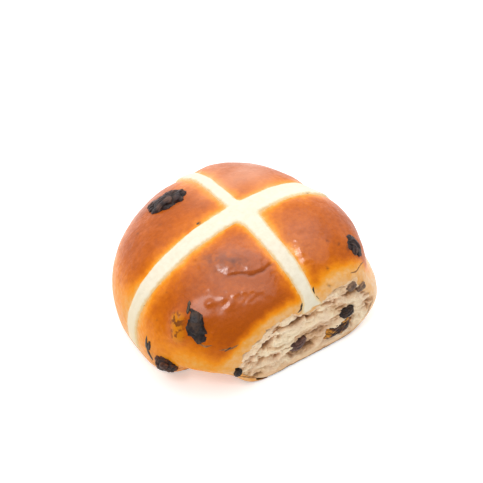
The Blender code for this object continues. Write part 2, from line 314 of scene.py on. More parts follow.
def make_piece(name, points, quads, material, slot, nodes, **fields):
    """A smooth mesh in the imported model's frame that stands for CAD nodes."""
    data = bpy.data.meshes.new(name)
    data.from_pydata((points + POLE).tolist(), [], quads.tolist())
    for field, values in fields.items():
        stored = data.attributes.new(field, "FLOAT", "POINT")
        stored.data.foreach_set("value", values.astype(np.float32))
    data.shade_smooth()
    data.materials.append(material)
    piece = bpy.data.objects.new(name, data)
    bpy.context.scene.collection.objects.link(piece)
    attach(piece, "root")
    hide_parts(*nodes)


def direction(bearing, elevation):
    b, e = math.radians(bearing), math.radians(elevation)
    return math.cos(b) * math.cos(e), math.sin(b) * math.cos(e), math.sin(e)


def spot(bearing, elevation):
    """The point of the whole bun at a bearing and an elevation."""
    way = np.array([direction(bearing, elevation)])
    return (HEART + way * dome_radius(way)[:, None])[0]


def spot_distance(points, bearing, elevation):
    return np.linalg.norm(points - spot(bearing, elevation), axis=1)


def line_distance(points, places):
    """Distance from each point to a route of straight runs between places on the bun."""
    best = np.full(len(points), 1.0)
    route = [spot(*place) for place in places]
    for start, end in zip(route[:-1], route[1:]):
        run = end - start
        share = np.clip((points - start) @ run / (run @ run), 0, 1)
        best = np.minimum(best, np.linalg.norm(points - start - share[:, None] * run, axis=1))
    return best


def cad_pole():
    """Where the design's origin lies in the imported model's frame."""
    ways, _ = ball(CAD_DOME_CELLS)
    design = (HEART + ways * dome_radius(ways)[:, None]).max(axis=0)
    packed = np.array(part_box("bun")[1])
    return np.array((packed[0] - design[0], packed[1] - design[1], 0))


POLE = cad_pole()


# Crust

HIDDEN_RAISIN = [(-155, 48), (-146, 51), (-138, 54), (-128, 52)]
HIDDEN_RISE = 0.0006
HIDDEN_REACH = 0.0042
HIDDEN_LUMPS = (0.7, 0.0036)  # heights and sizes, here and below
DARK_PATCH = [(-158, 47), (-148, 50), (-138, 51)]
DARK_PATCH_REACH = 0.0036
BROAD_SWELLS = (0.00034, 0.013)
SMALL_SWELLS = (0.00014, 0.0045)
RIDGE_HEIGHT = 0.00017
RIDGE_SIZE = (0.0028, 0.0017, 0.0020)
STIR = 0.0011  # bends the crease and the blisters
STIR_SIZE = 0.0042
CREASE = [(-152, 43.5), (-142, 43), (-134, 44.5), (-126, 45), (-119, 47), (-112, 49)]
CREASE_DEPTH = 0.00045
CREASE_WIDTH = 0.0006
CREASE_FADE = (-0.35, 0.30)
CREASE_FADE_SIZE = 0.0045
BLISTER_SHARE = 0.9
BLISTERS = [  # bearing, elevation, reach and rise
    (-167, 45, 0.0011, 0.00030), (-161, 43, 0.0012, 0.00035), (-128, 48, 0.0012, 0.00035),
    (-122, 49, 0.0013, 0.00040), (-115, 51, 0.0012, 0.00035), (-143, 34, 0.0017, 0.00045),
    (-140, 37, 0.0012, 0.00035), (-135, 35, 0.0013, 0.00030), (-131, 37, 0.0011, 0.00030),
    (-126, 38, 0.0012, 0.00028), (-147, 31, 0.0011, 0.00030), (-138, 31, 0.0012, 0.00025),
    (-150, 36, 0.0010, 0.00025), (-75, 63, 0.0012, 0.00035), (-77, 58, 0.0016, 0.00045),
    (-70, 65, 0.0010, 0.00030), (-79, 53, 0.0012, 0.00035), (-81, 49, 0.0013, 0.00035),
    (-83, 45, 0.0012, 0.00030), (-73, 54, 0.0010, 0.00025), (-66, 60, 0.0011, 0.00025),
    (128, 58, 0.0016, 0.00035), (160, 44, 0.0012, 0.00020), (100, 50, 0.0018, 0.00030),
    (40, 62, 0.0014, 0.00030), (70, 55, 0.0016, 0.00030), (10, 50, 0.0015, 0.00025),
]
SKIN_FOLDS = [(-130, 39), (-78, 56), (-140, 50)]  # middles of the wrinkled places
SKIN_FOLD_REACH = 0.0095
FILM = [(-157.5, 21.5), (-156.5, 19.5), (-155, 16)]
FILM_REACH = 0.0030
FILM_RISE = 0.0022
FILM_EDGE = (0.35, 0.75)
SPECKS = [  # bearing, elevation and reach of small dark spots
    (161, 56, 0.0007), (-61, 46, 0.0006), (-75, 37, 0.0006), (-79, 30, 0.0005), (149, 28, 0.0006),
    (147, 14, 0.0005), (-143, 50, 0.0010), (-57, 41, 0.0005), (-54, 36, 0.0008), (150, 39, 0.0004),
    (-166, 17, 0.0004), (-169, 27, 0.0004), (60, 30, 0.0007), (20, 35, 0.0006), (-10, 24, 0.0008),
]
BASE_EDGE = [(-151, 4.5), (-145, 5.5), (-140, 2), (-134, -2), (-128, -7), (-123, -11)]
BASE_EDGE_REACH = 0.0050
RELIEF_FADE = 0.004  # height below which the relief dies away
RAGGED_FINE = (0.0006, 0.0022)
RAGGED_WIDE = (0.0005, 0.007)
CRUST_PAST_TEAR = 0.0008
RIM_HALF = 0.0006
RIM_LOW = 0.002
NOTCH_BEARING = math.radians(-151)
NOTCH_TURN_LEFT = 0.09
NOTCH_TURN_RIGHT = 0.28
NOTCH_LOW = 0.003
NOTCH_HIGH = 0.0145
NOTCH_SHARE = 0.15
# painted shade under the tucked foot at the front left
FOOT_STAINS = [(-165, 0), (-156, -5), (-148, -3), (-140, -6)]
FOOT_STAIN_REACH = 0.0035
FOOT_DARK = (0.0004, 0.0012)


def folded_level(points):
    """How wrinkled the glazed skin is."""
    return sum(hill(spot_distance(points, *place), SKIN_FOLD_REACH) for place in SKIN_FOLDS)


def crust_relief(points):
    """Height of the crust's unevenness, and how strong the crease is; the same strength sets the painted
    shade along the crease.
    """
    relief = swells(points, BROAD_SWELLS, 1) + swells(points, SMALL_SWELLS, 2)
    ridges = 0.5 - np.abs(noise(points, RIDGE_SIZE, 3))
    relief += RIDGE_HEIGHT * np.clip(folded_level(points), 0, 1) * ridges
    hidden = hill(line_distance(points, HIDDEN_RAISIN), HIDDEN_REACH)
    relief += HIDDEN_RISE * hidden * (1 + swells(points, HIDDEN_LUMPS, 4))
    wander = points + stir(points, STIR, STIR_SIZE, (7, 8, 9))
    crease = hill(line_distance(wander, CREASE), CREASE_WIDTH)
    crease *= smoothstep(*CREASE_FADE, noise(points, CREASE_FADE_SIZE, 10) - CREASE_FADE[0])
    relief -= CREASE_DEPTH * crease
    for bearing, elevation, reach, rise in BLISTERS:
        relief += BLISTER_SHARE * rise * hill(spot_distance(wander, bearing, elevation), reach)
    relief += FILM_RISE * hill(line_distance(points, FILM), FILM_REACH)
    return relief, crease


def crust_shape():
    """The crust all round, how far each point lies past the tear, and the strength of the crease and of
    its painted shade.
    """
    ways, quads = ball(CRUST_CELLS)
    whole = dome_radius(ways)
    torn = tear_radius(ways)
    beyond = whole - torn
    radius = soft_min(whole, torn, EDGE_ROUNDING)
    radius = soft_min(radius, floor_radius(ways), FOOT_ROUNDING)
    points = HEART + ways * radius[:, None]
    relief, crease = crust_relief(points)
    lift = relief * smoothstep(0.0, RELIEF_FADE, points[:, 2])
    points = points + normals(points, quads) * lift[:, None]
    bearing = np.arctan2(points[:, 1], points[:, 0])
    away = turned(bearing, NOTCH_BEARING)
    notch = hill(away, np.where(away < 0, NOTCH_TURN_LEFT, NOTCH_TURN_RIGHT))
    notch *= 1 - smoothstep(NOTCH_LOW, NOTCH_HIGH, points[:, 2])
    points[:, :2] *= (1 - NOTCH_SHARE * notch)[:, None]
    ragged = swells(points, RAGGED_FINE, 5) + swells(points, RAGGED_WIDE, 6)
    return points, quads, beyond + ragged, crease


# Crumb

PITS = [  # x, z, half length, half width, tilt and depth
    (-0.0178, 0.0186, 0.0038, 0.0018, 0.50, 0.0032),
    (-0.0232, 0.0162, 0.0026, 0.0010, 0.15, 0.0026),
    (-0.0268, 0.0196, 0.0014, 0.0005, -0.4, 0.0014),
    (-0.0300, 0.0168, 0.0012, 0.0005, 0.2, 0.0014),
    (-0.0065, 0.0216, 0.0042, 0.0016, 0.05, 0.0034),
    (-0.0015, 0.0204, 0.0020, 0.0008, -0.5, 0.0020),
    (-0.0210, 0.0135, 0.0010, 0.0007, 0.6, 0.0016),
    (0.0010, 0.0112, 0.0048, 0.0006, -0.1, 0.0018),
    (0.0152, 0.0218, 0.0030, 0.0018, 0.1, 0.0026),
    (0.0212, 0.0175, 0.0024, 0.0008, 0.3, 0.0014),
    (0.0085, 0.0215, 0.0012, 0.0009, 0.0, 0.0015),
    (0.0120, 0.0262, 0.0012, 0.0006, 0.2, 0.0012),
]
PIT_STIR = 0.0012
PIT_STIR_SIZE = 0.0030
PIT_WALL = (0.35, 1.05)  # shares of a pit's size between which it deepens
LEDGE_HEIGHT = 0.0112
LEDGE_BOW = 12.0
LEDGE_MIDDLE = 0.0005
LEDGE_HALF = 0.0095
LEDGE_DEPTH = 0.0010
LEDGE_WAVES = (0.0012, 0.005)
LEDGE_ENDS = (0.6, 1.0)
LEDGE_FACE = (-0.0006, 0.0004)
LEDGE_FOOT = (0.002, 0.006)
CRUMB_SINK = 0.0009  # keeps the crumb under the crust at the left corner of the tear
CRUMB_SINK_FROM = -0.020
CRUMB_SINK_TO = -0.012
CRUMB_SINK_RIM = (0.0003, 0.0010)
CRUMB_LEFT = -0.048
CRUMB_RIGHT = 0.030
CRUMB_BOTTOM = 0.0003
CRUMB_TOP = 0.036
CRUMB_BELOW_CRUST = 0.00015
CRUMB_LOWEST = 0.0001
CRUMB_SETTLE = (-0.0004, 0.0028)
CRUMB_PAST_RIM = -0.0016
CRUMB_BROAD_STIR = 0.003
CRUMB_BROAD_STIR_SIZE = 0.012
CRUMB_FINE_STIR = 0.0010
CRUMB_FINE_STIR_SIZE = 0.004
CRUMB_FOLDS = 0.0010
CRUMB_FOLD_SIZE = (0.013, 0.02, 0.0044)
CRUMB_STRANDS = 0.00045
CRUMB_STRAND_SIZE = (0.0044, 0.02, 0.0015)
CRUMB_GRAIN = 0.00036
CRUMB_GRAIN_SIZE = (0.0014, 0.01, 0.0008)
CRUMB_HOLES = 0.0012
CRUMB_HOLE_SIZE = (0.0040, 0.02, 0.0020)
CRUMB_HOLE_WALL = (0.26, 0.55)
CRUMB_WAVES = 0.0007
CRUMB_WAVE_SIZE = (0.018, 0.02, 0.011)
CRUMB_CALM = (0.0015, 0.005)  # heights between which the relief grows to its full share
CRUMB_FOOT_DARK = (0.0005, 0.0012)
CRUMB_SKIN_LOW = (0.0008, 0.0042)
CRUMB_SKIN_RIM = (-0.0002, 0.0016)
CRUMB_SKIN_SHARE = 0.7


def crumb_shape():
    """The crumb of the pulled side, its depth, and how far each point lies inside the rim."""
    xs = np.arange(CRUMB_LEFT, CRUMB_RIGHT, CRUMB_CELL)
    zs = np.arange(CRUMB_BOTTOM, CRUMB_TOP, CRUMB_CELL)
    x, z = (grid.ravel() for grid in np.meshgrid(xs, zs, indexing="ij"))
    flat = np.stack([x, tear(x, z), z], axis=1)
    reach = np.linalg.norm(flat - HEART, axis=1)
    ways = (flat - HEART) / reach[:, None]
    whole = dome_radius(ways)
    inside = whole - reach
    radius = soft_min(whole, reach, EDGE_ROUNDING)
    points = HEART + ways * radius[:, None]
    quads = grid_quads(len(xs), len(zs))
    out = normals(points, quads)
    depth = crumb_relief(np.stack([x, 0 * x, z], axis=1))
    settle = smoothstep(*CRUMB_SETTLE, inside)
    sunk = CRUMB_SINK * (1 - smoothstep(*CRUMB_SINK_RIM, inside))
    sunk = sunk * (1 - smoothstep(CRUMB_SINK_FROM, CRUMB_SINK_TO, x))
    relief = depth * settle - CRUMB_BELOW_CRUST - sunk
    points = points + out * relief[:, None]
    points[:, 2] = np.maximum(points[:, 2], CRUMB_LOWEST)
    return kept(points, quads, inside > CRUMB_PAST_RIM, depth, inside)


def pit_depth(places):
    """How deep the marked pits and slits of the pulled side are at each place."""
    depth = np.zeros(len(places))
    wander = places + stir(places, PIT_STIR, PIT_STIR_SIZE, (35, 36, 37))
    for x, z, length, width, tilt, deep in PITS:
        right, up = wander[:, 0] - x, wander[:, 2] - z
        along = right * math.cos(tilt) + up * math.sin(tilt)
        across = up * math.cos(tilt) - right * math.sin(tilt)
        reach = np.sqrt((along / length) ** 2 + (across / width) ** 2)
        depth = np.maximum(depth, deep * (1 - smoothstep(*PIT_WALL, reach)))
    return depth


def ledge_depth(places):
    """Depth of the recess that the upper crumb overhangs, beside the middle of the base."""
    x, z = places[:, 0], places[:, 2] + swells(places, LEDGE_WAVES, 38)
    line = LEDGE_HEIGHT + LEDGE_BOW * (x - LEDGE_MIDDLE) ** 2
    across = 1 - smoothstep(*LEDGE_ENDS, np.abs(x - LEDGE_MIDDLE) / LEDGE_HALF)
    return LEDGE_DEPTH * across * (1 - smoothstep(*LEDGE_FACE, z - line)) * smoothstep(*LEDGE_FOOT, z)


def crumb_relief(places):
    """Height of the crumb's folds, strands and holes over the flat pulled side."""
    bend = places + stir(places, CRUMB_BROAD_STIR, CRUMB_BROAD_STIR_SIZE, (21, 22, 23))
    bend += stir(places, CRUMB_FINE_STIR, CRUMB_FINE_STIR_SIZE, (28, 29, 30))
    folds = 1 - np.abs(noise(bend, CRUMB_FOLD_SIZE, 24)) * 2.2
    strands = 1 - np.abs(noise(bend, CRUMB_STRAND_SIZE, 25)) * 2
    holes = smoothstep(*CRUMB_HOLE_WALL, noise(bend, CRUMB_HOLE_SIZE, 31))
    relief = CRUMB_FOLDS * (folds - 0.6) + CRUMB_STRANDS * strands
    relief += CRUMB_GRAIN * fractal(places, CRUMB_GRAIN_SIZE, 3, 27)
    relief += CRUMB_WAVES * noise(places, CRUMB_WAVE_SIZE, 33) - CRUMB_HOLES * holes
    share = 0.25 + 0.75 * smoothstep(*CRUMB_CALM, places[:, 2])
    return relief * share - pit_depth(places) - ledge_depth(places)


# Cross

ARM_HALF_WIDTHS = {
    "left": (0.0037, 0.0029),
    "right": (0.0041, 0.0045),
    "front": (0.0037, 0.0019),
    "back": (0.0023, 0.0022),
}
ARM_SPAN = 0.040
BOW_LEFT = (-1.4, 22)  # how the arm along X bends, with the square and the cube of the run
BOW_RIGHT = (-3.6, 0)
BOW_RIGHT_END = 0.029
SHIFT_X = -0.0006
SHIFT_X_RIGHT = -0.0003
BOW_FRONT = 0.4
SAG_FRONT = (-0.0006, -0.016, 0.009)  # depth, place and reach of a gentle bend of the other arm
SAG_BACK = (-0.0005, 0.008, 0.010)
SHIFT_Y = -0.0003
PASTE_HEIGHT = 0.0008
PASTE_EDGE = 0.0016
PASTE_FILLET = 0.0020
PASTE_MARGIN = 0.0007
PASTE_WAVES = (0.00007, 0.0035)
PASTE_SINK = 0.00005
PASTE_SKIRT = 0.8  # slope of the paste's hidden edge
PASTE_LOW = (0.010, 0.034)
PASTE_RIM = -0.0001
WOBBLE_X = 0.00022
WOBBLE_Y = 0.00018
WOBBLE_SIZE = 0.006
END_ROUNDING = 0.001
LIP_ROUNDING = 0.0004
LIP_RAGGED = 0.0006
LIP_RAGGED_SIZE = 0.003
SIDE_CHANGE = (-0.002, 0.003)  # where an arm's width takes over from the opposite arm's
CROSSING_REACH = 0.0062
CROSSING_BLEND = 0.001


def half_width(run, before, after):
    """Half the width of a strip at a distance from the crossing, towards one end or the other."""
    share = np.clip(np.abs(run) / ARM_SPAN, 0, 1)
    backward = before[0] + (before[1] - before[0]) * share
    forward = after[0] + (after[1] - after[0]) * share
    return backward + (forward - backward) * smoothstep(*SIDE_CHANGE, run)


def middle_of_x(u):
    """How far the middle line of the arm along X lies behind the crossing."""
    left, right = np.minimum(u, 0), np.clip(u, 0, BOW_RIGHT_END)
    bow = BOW_LEFT[0] * left**2 + BOW_LEFT[1] * np.abs(left) ** 3
    bow += BOW_RIGHT[0] * right**2 + BOW_RIGHT[1] * right**3
    return SHIFT_X + SHIFT_X_RIGHT * np.clip(u / (2 * CROSS_HALF_WIDTH), 0, 1) + bow


def middle_of_y(v):
    """How far the middle line of the arm along Y lies to the right of the crossing."""
    sags = sum(depth * hill(v - place, reach) for depth, place, reach in (SAG_FRONT, SAG_BACK))
    return SHIFT_Y + BOW_FRONT * np.minimum(v, 0) ** 2 + sags


def inside_paste(u, v, ends):
    """How far a place on the unrolled crust lies inside the cross."""
    flat_u, flat_v = np.stack([u, 0 * u, 0 * u], axis=1), np.stack([0 * v, v, 0 * v], axis=1)
    wide_x = half_width(u, ARM_HALF_WIDTHS["left"], ARM_HALF_WIDTHS["right"])
    wide_x += WOBBLE_X * fractal(flat_u + (0, np.sign(v[0]), 0), WOBBLE_SIZE, 3, 41)
    wide_y = half_width(v, ARM_HALF_WIDTHS["front"], ARM_HALF_WIDTHS["back"])
    wide_y += WOBBLE_Y * fractal(flat_v, WOBBLE_SIZE, 3, 45)
    lip = np.clip((LIP_LENGTH - ends["front"] - v) / LIP_LENGTH, 0, 1)
    wide_y *= 1 + LIP_SPREAD * lip**2
    in_x = soft_min(wide_x - np.abs(v - middle_of_x(u)), ends["right"] - u, END_ROUNDING)
    in_x = soft_min(in_x, ends["left"] + u, END_ROUNDING)
    ragged = LIP_RAGGED * fractal(flat_u, LIP_RAGGED_SIZE, 2, 49)
    in_y = soft_min(wide_y - np.abs(u - middle_of_y(v)), ends["back"] - v, END_ROUNDING)
    in_y = soft_min(in_y, ends["front"] + v + ragged, LIP_ROUNDING)
    return -soft_min(-in_x, -in_y, PASTE_FILLET)


def cross_shape(surface):
    """Points on the crust in and round the cross, the way out, and how far each lies inside it."""
    heart = Vector((CROSS_X, CROSS_Y, HEART[2]))
    upright = Vector((0, 0, 1))
    along_x = Vector((math.cos(CROSS_TURN), math.sin(CROSS_TURN), 0))
    along_y = Vector((-math.sin(CROSS_TURN), math.cos(CROSS_TURN), 0))
    scale = surface.ray_cast(heart, upright)[3]
    ends = {side: math.radians(angle) * scale for side, angle in CROSS_ENDS.items()}
    us = np.arange(-ends["left"] - PASTE_MARGIN, ends["right"] + PASTE_MARGIN, CROSS_CELL)
    vs = np.arange(-ends["front"] - PASTE_MARGIN, ends["back"] + PASTE_MARGIN, CROSS_CELL)
    u, v = (grid.ravel() for grid in np.meshgrid(us, vs, indexing="ij"))
    inside = inside_paste(u, v, ends)
    u, quads, v, inside = kept(u, grid_quads(len(us), len(vs)), inside > -PASTE_MARGIN, v, inside)

    def on_surface(run, side, forward, sideways):
        way = upright * math.cos(run / scale) + forward * math.sin(run / scale)
        middle = surface.ray_cast(heart, way)[0]
        aim = (middle + sideways * side - heart).normalized()
        return surface.ray_cast(heart, aim)[:2]

    points, outward = np.zeros((2, len(u), 3))
    wide = CROSSING_REACH
    for i, (across, along) in enumerate(zip(u, v)):
        one = smoothstep(wide - CROSSING_BLEND, wide, abs(across)) if abs(along) < wide else 0.0
        place, out = on_surface(along, across, along_y, along_x) if one < 1 else (None, None)
        if one > 0:
            other, other_out = on_surface(across, along, along_x, along_y)
            place, out = (other, other_out) if one == 1 else (place.lerp(other, one), out)
        points[i], outward[i] = place, out
    return points, quads, outward, inside


def cross_piece(surface):
    """Makes the paste cross, and gives the points that lie in it."""
    points, quads, outward, inside = cross_shape(surface)
    out = normals(points, quads)
    if np.einsum("ij,ij->i", out, outward).mean() < 0:
        quads, out = quads[:, ::-1], -out
    share = np.clip(inside / PASTE_EDGE, 0, 1)
    height = PASTE_HEIGHT * np.sqrt(1 - (1 - share) ** 2)
    height += PASTE_WAVES[0] * fractal(points, PASTE_WAVES[1], 2, 51)
    height += np.minimum(inside, 0) * PASTE_SKIRT - PASTE_SINK
    points = points + out * height[:, None]
    low = 1 - smoothstep(*PASTE_LOW, points[:, 2])
    make_piece("paste_cross", points, quads, paste_material(), "paste", ["cross"], inside=inside, low=low)
    return points[inside > PASTE_RIM]


# Raisins

RAISINS = {  # bearing, elevation, size in mm and turn
    "raisin_left_shoulder": (129, 39, (14.0, 9.6, 6.0), 112),
    "raisin_front": (-150, 21, (12.4, 9.4, 5.8), 118),
    "raisin_right_shoulder": (-50, 33, (8.4, 6.0, 4.6), 66),
    "raisin_foot_left": (-159, 1, (7.6, 6.0, 5.6), 0),
    "raisin_slit_left": (-167, 5, (7.4, 2.2, 3.0), 84),
    "raisin_torn_upper": (-68, 4, (5.4, 4.6, 4.4), 20),
    "raisin_torn_lower": (-73, -6, (11.0, 6.6, 5.2), 12),
    "raisin_torn_middle": (-100, -2, (7.0, 4.6, 4.4), 5),
    "raisin_torn_corner": (-131, 0, (3.0, 2.6, 2.8), 60),
    "raisin_torn_top_left": (-67, 21, (3.6, 3.2, 3.0), 30),
    "raisin_torn_top_right": (-61, 16, (3.8, 2.6, 2.6), 15),
}
RAISIN_CELLS = ((9, 40), (5, 30), (0, 20))  # longer than so many mm, cells along a side
RAISIN_BLUNT = 0.86
RAISIN_BEND = 0.35
RAISIN_FOLD_SIZE = np.array((1.5, 0.55, 0.9))  # these sizes are shares of the raisin's mean half size
RAISIN_CREASE_SIZE = np.array((0.8, 0.34, 0.5))
RAISIN_GRAIN_SIZE = 0.20
RAISIN_LUMP_SIZE = 1.1
RAISIN_CORE = 0.86
RAISIN_LUMPS = 0.10
RAISIN_FOLDS = 0.42
RAISIN_CREASES = 0.16
RAISIN_GRAIN = 0.06
RAISIN_RIDGE_TOP = 0.4


def raisin_axes(bearing, elevation, turn, surface):
    """Length, width and depth directions of a raisin on the bun, as rows."""
    outward = surface.ray_cast(Vector(HEART), Vector(direction(bearing, elevation)))[1]
    across = Vector((0, 0, 1)).cross(outward).normalized()
    t = math.radians(turn)
    length = across * math.cos(t) + outward.cross(across) * math.sin(t)
    return np.array((length, outward.cross(length), outward))


def raisin_piece(name, surface, material, seed):
    """A wrinkled raisin in the middle of its CAD node's box."""
    bearing, elevation, size, turn = RAISINS[name]
    low, high = (np.array(corner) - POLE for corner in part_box(name))
    centre = (low + high) / 2
    axes = raisin_axes(bearing, elevation, turn, surface)
    half = np.array(size) / 2000
    mean = half.mean()
    ways, quads = ball(next(cells for length, cells in RAISIN_CELLS if size[0] > length))
    blunt = np.sign(ways) * np.abs(ways) ** RAISIN_BLUNT
    blunt /= np.linalg.norm(blunt, axis=1)[:, None] ** 0.5
    places = ways * half
    bend = places + stir(places, RAISIN_BEND * mean, mean, (seed + 3, seed + 4, seed + 5))
    folds = np.abs(noise(bend, mean * RAISIN_FOLD_SIZE, seed))
    creases = np.abs(noise(bend, mean * RAISIN_CREASE_SIZE, seed + 6))
    fine = np.abs(noise(bend, mean * RAISIN_GRAIN_SIZE, seed + 7))
    scale = RAISIN_CORE + RAISIN_LUMPS * noise(places, mean * RAISIN_LUMP_SIZE, seed + 9)
    scale += RAISIN_FOLDS * np.minimum(folds, RAISIN_RIDGE_TOP)
    scale += RAISIN_CREASES * np.minimum(creases, RAISIN_RIDGE_TOP) + RAISIN_GRAIN * fine
    points = centre + (blunt * scale[:, None] * half) @ axes
    # painted shade in the furrows between the folds
    furrow = 1 - np.clip(np.minimum(folds * 3.4, creases * 4.5), 0, 1)
    make_piece(name + "_fruit", points, quads, material, "raisin", [name], furrow=furrow)


# Shreds of fruit skin, dark strands as painted shade in cracks, and folds of the crust

SHREDS = [  # half width, then the places it runs through
    # these two are dark strands painted as the shade in the cracks beside the front arm's lip
    (0.00042, [(-87.0, 32.0), (-88.5, 29.5), (-88.5, 27.5), (-86.5, 25.0)]),
    (0.00035, [(-96.0, 27.5), (-98.0, 25.5), (-98.5, 24.0), (-101.0, 23.0)]),
    (0.00050, [(-154.5, 24.5), (-156.5, 29.0)]),
    (0.00062, [(-168.5, 9.0), (-168.0, 5.0), (-166.0, 0.0), (-165.5, -2.5)]),
    (0.00045, [(-177.2, 15.4), (-176.0, 17.2)]),
    (0.00030, [(-136.5, 12.5), (-134.0, 14.5)]),
    (0.00040, [(161.5, 55.0), (160.0, 56.5)]),
]
FOLDS = [
    (0.00022, [(-65.0, 28.0), (-61.0, 26.0), (-55.0, 25.5), (-51.0, 24.0)]),
    (0.00030, [(-147.5, 15.0), (-144.0, 14.0), (-141.5, 15.0)]),
    (0.00030, [(-138.5, 13.0), (-134.0, 13.8), (-131.0, 15.5)]),
    (0.00026, [(-120.0, 13.5), (-115.5, 17.0), (-111.0, 19.0)]),
]
BASE_LINE = [  # the dark edge of the base
    (0.00034, BASE_EDGE[3:]),
    (0.00030, [(-168.0, -4.0), (-162.0, -6.0), (-156.0, -7.0)]),
]
STRAND_STEPS = 14
STRAND_SIDES = 8
STRAND_LUMPS = (0.5, 0.0010)
STRAND_FLATNESS = 0.5
STRAND_TIP = 0.02
STRAND_SEED = 90


def strand(width, places, surface, seed):
    """A thin tapered strip lying on the crust, as points and quads."""
    ways = [Vector(spot(*place) - HEART) for place in places]
    run = np.linspace(0, len(ways) - 1, STRAND_STEPS)
    points, middle = [], []
    for share in run:
        start = min(int(share), len(ways) - 2)
        aim = ways[start].lerp(ways[start + 1], share - start)
        place, out = surface.ray_cast(Vector(HEART), aim.normalized())[:2]
        middle.append((np.array(place), np.array(out)))
    lines = np.array([place for place, _ in middle])
    forward = np.gradient(lines, axis=0)
    forward /= np.linalg.norm(forward, axis=1)[:, None]
    lumps = 1 + swells(lines, STRAND_LUMPS, seed)
    for i, (place, out) in enumerate(middle):
        side = np.cross(forward[i], out)
        along = 2 * i / (STRAND_STEPS - 1) - 1
        thick = width * lumps[i] * math.sqrt(max(1 - along**2, STRAND_TIP))
        for turn in np.arange(STRAND_SIDES) * 2 * math.pi / STRAND_SIDES:
            points.append(place + thick * (side * math.cos(turn) + STRAND_FLATNESS * out * math.sin(turn)))
    ring = np.arange(STRAND_SIDES)
    after = (ring + 1) % STRAND_SIDES
    quads = np.concatenate([
        np.stack([ring, after, after + STRAND_SIDES, ring + STRAND_SIDES], axis=1) + i * STRAND_SIDES
        for i in range(STRAND_STEPS - 1)
    ])
    return np.array(points), quads


def strands_piece(name, table, surface, material, slot):
    """All the strands of a table as one piece."""
    places, sides = [], []
    for number, (width, along) in enumerate(table):
        points, quads = strand(width, along, surface, STRAND_SEED + number)
        sides.append(quads + sum(len(done) for done in places))
        places.append(points)
    points, quads = np.concatenate(places), np.concatenate(sides)
    make_piece(name, points, quads, material, slot, ["bun"])


# Materials

def new_material(name):
    """A material with a Principled shader, its node tree and the shader."""
    material = bpy.data.materials.new(name)
    material.use_nodes = True
    tree = material.node_tree
    tree.nodes.clear()
    output = tree.nodes.new("ShaderNodeOutputMaterial")
    shader = tree.nodes.new("ShaderNodeBsdfPrincipled")
    tree.links.new(shader.outputs["BSDF"], output.inputs["Surface"])
    return material, tree, shader


def feed(tree, socket, value):
    """Links a socket to another node's output, or sets it to a constant."""
    if hasattr(value, "links"):
        tree.links.new(value, socket)
    else:
        socket.default_value = value


def attribute(tree, name):
    node = tree.nodes.new("ShaderNodeAttribute")
    node.attribute_name = name
    return node.outputs["Fac"]


def grain(tree, size, detail=2.0, roughness=0.5):
    """Noise between 0 and 1 with features of one size in metres."""
    place = tree.nodes.new("ShaderNodeTexCoord")
    node = tree.nodes.new("ShaderNodeTexNoise")
    node.inputs["Scale"].default_value = 1 / size
    node.inputs["Detail"].default_value = detail
    node.inputs["Roughness"].default_value = roughness
    tree.links.new(place.outputs["Object"], node.inputs["Vector"])
    return node.outputs["Fac"]


def calc(tree, operation, *values):
    node = tree.nodes.new("ShaderNodeMath")
    node.operation = operation
    for socket, value in zip(node.inputs, values):
        feed(tree, socket, value)
    return node.outputs[0]


def span(tree, value, low, high, to_low=0.0, to_high=1.0):
    """A smooth change from to_low to to_high as the value goes from low to high."""
    node = tree.nodes.new("ShaderNodeMapRange")
    node.interpolation_type = "SMOOTHSTEP"
    names = ("Value", "From Min", "From Max", "To Min", "To Max")
    for name, given in zip(names, (value, low, high, to_low, to_high)):
        feed(tree, node.inputs[name], given)
    return node.outputs["Result"]


def blend(tree, share, one, other):
    """A colour between two others."""
    node = tree.nodes.new("ShaderNodeMix")
    node.data_type = "RGBA"
    feed(tree, node.inputs[0], share)
    for socket, colour in ((node.inputs[6], one), (node.inputs[7], other)):
        feed(tree, socket, colour if hasattr(colour, "links") else (*colour, 1))
    return node.outputs[2]


def tint(tree, colour, field, strength, other):
    """The colour with another over it where a field of the mesh is high."""
    return blend(tree, calc(tree, "MULTIPLY", field, strength), colour, other)


def ramp(tree, value, stops):
    node = tree.nodes.new("ShaderNodeValToRGB")
    ramp_stops = node.color_ramp.elements
    while len(ramp_stops) < len(stops):
        ramp_stops.new(0.5)
    for stop, (place, colour) in zip(ramp_stops, stops):
        stop.position = place
        stop.color = (*colour, 1)
    feed(tree, node.inputs["Fac"], value)
    return node.outputs["Color"]


def bump(tree, shader, height, distance):
    node = tree.nodes.new("ShaderNodeBump")
    node.inputs["Strength"].default_value = 1.0
    node.inputs["Distance"].default_value = distance
    tree.links.new(height, node.inputs["Height"])
    tree.links.new(node.outputs["Normal"], shader.inputs["Normal"])


# Crust colours and glaze

FRONT_BEARING = math.radians(-116)
FRONT_TURN = 0.50
FRONT_DROP = 0.010
FRONT_DEEPER = 0.14
HALO_REACH = 0.0023
HALO_LEVEL = 0.06
HALO_LIMITS = (0.5, 1.6)
HALO_BROAD = (0.5, 0.006)
HALO_FINE = (0.25, 0.0022)
BAKE_LEAST = 0.24
BAKE_LOW = (0.18, 0.0, 0.016)  # rise of the level, and the heights between which it rises
BAKE_HIGH = (0.50, 0.018, 0.031)
BAKE_WAVES = (0.0025, 0.011)
BAKE_PATCHES = (0.10, 0.016)
RIM_RIGHT_FROM = math.radians(-97)
RIM_RIGHT_TO = math.radians(-76)
RIM_LEVEL_LEFT = 0.17
RIM_LEVEL_RIGHT = 0.12
RIM_PALE_LEFT = (0.0006, 0.0052)
RIM_PALE_RIGHT = (0.0025, 0.0090)
RIM_WAVES = (0.14, 0.006)
BASE_EDGE_LEVEL = 0.20
BASE_EDGE_SHARE = 0.85
PALE_FOOT_BEARING = math.radians(-30)
PALE_FOOT_TURN = 0.55
PALE_FOOT_TOP = (0.012, 0.026)
